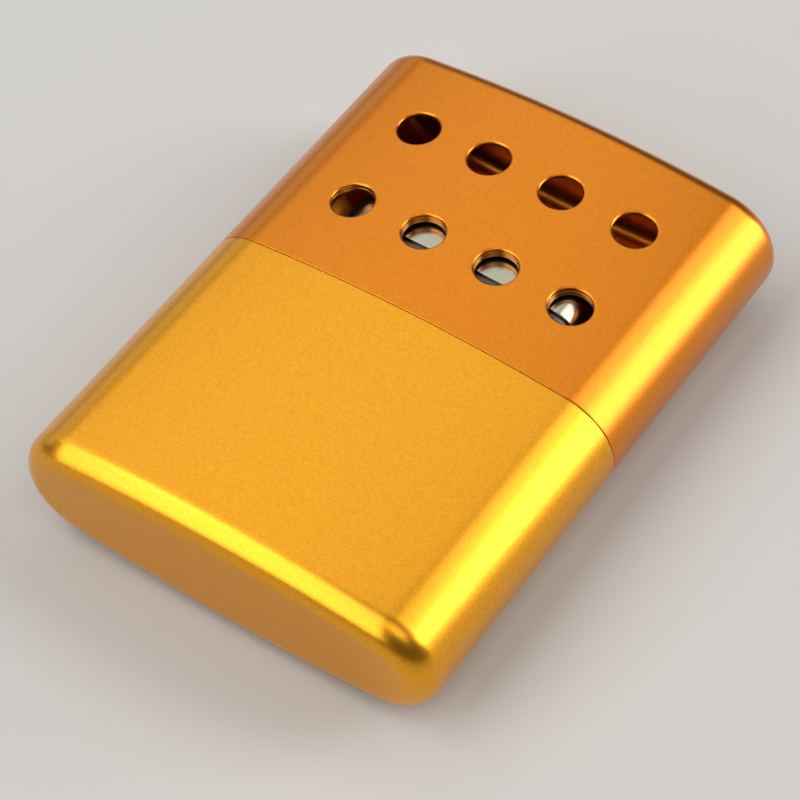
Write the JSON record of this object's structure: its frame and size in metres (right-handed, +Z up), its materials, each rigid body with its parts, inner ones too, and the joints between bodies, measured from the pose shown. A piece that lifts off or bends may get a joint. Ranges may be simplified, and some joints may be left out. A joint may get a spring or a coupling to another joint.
{
  "type": "catalytic hand warmer",
  "caption": "Flat pocket hand warmer with rounded sides, a fuel body and a pull-off vented cap that covers a catalytic burner on the tank's neck.",
  "frame": {"origin": "middle of the back, on the surface that the warmer lies on", "axes": "+X across the width, +Y along the length from the base to the cap, +Z up out of the vented front face"},
  "size_m": [0.054, 0.0714, 0.0167],
  "materials": {
    "body_gold": "bead-blasted, orange-gold anodised, satin",
    "cap_gold": "bead-blasted, orange-gold anodised, satin, a shade darker than the body",
    "can_gold": "drawn sheet, anodised like the case",
    "pressed_steel": "plain pressed stainless sheet",
    "clip_steel": "spring steel, blued",
    "burner_chrome": "polished plate",
    "neck_chrome": "polished plate, soldered at its foot",
    "rivet_steel": "set rivet heads",
    "gauze_wire": "fine woven wire, heat tinted",
    "catalyst_fibre": "glass-fibre mat, grey from its platinum coating",
    "white_felt": "pressed felt",
    "cotton": "loose cotton wadding"
  },
  "bodies": {
    "tank": {"body_case": "body_gold", "inner_can": "can_gold", "tank_lid": "pressed_steel", "burner_seat": "burner_chrome", "neck_tube": "neck_chrome", "wick_felt": "white_felt", "lower_wad": "cotton", "middle_wad": "cotton", "upper_wad": "cotton"},
    "burner": {"burner_clip": "clip_steel", "burner_hood": "burner_chrome", "gauze_front": "gauze_wire", "gauze_back": "gauze_wire", "catalyst_mat": "catalyst_fibre", "mat_holder": "pressed_steel", "burner_rivets": "rivet_steel"},
    "cap": {"cap_case": "cap_gold"}
  },
  "joints": [
    {"name": "cap_pull", "type": "slide", "parent": "tank", "child": "cap", "axis": [0, 1, 0], "range_m": [0, 0.04]},
    {"name": "burner_pull", "type": "slide", "parent": "tank", "child": "burner", "axis": [0, 1, 0], "range_m": [0, 0.01]}
  ]
}
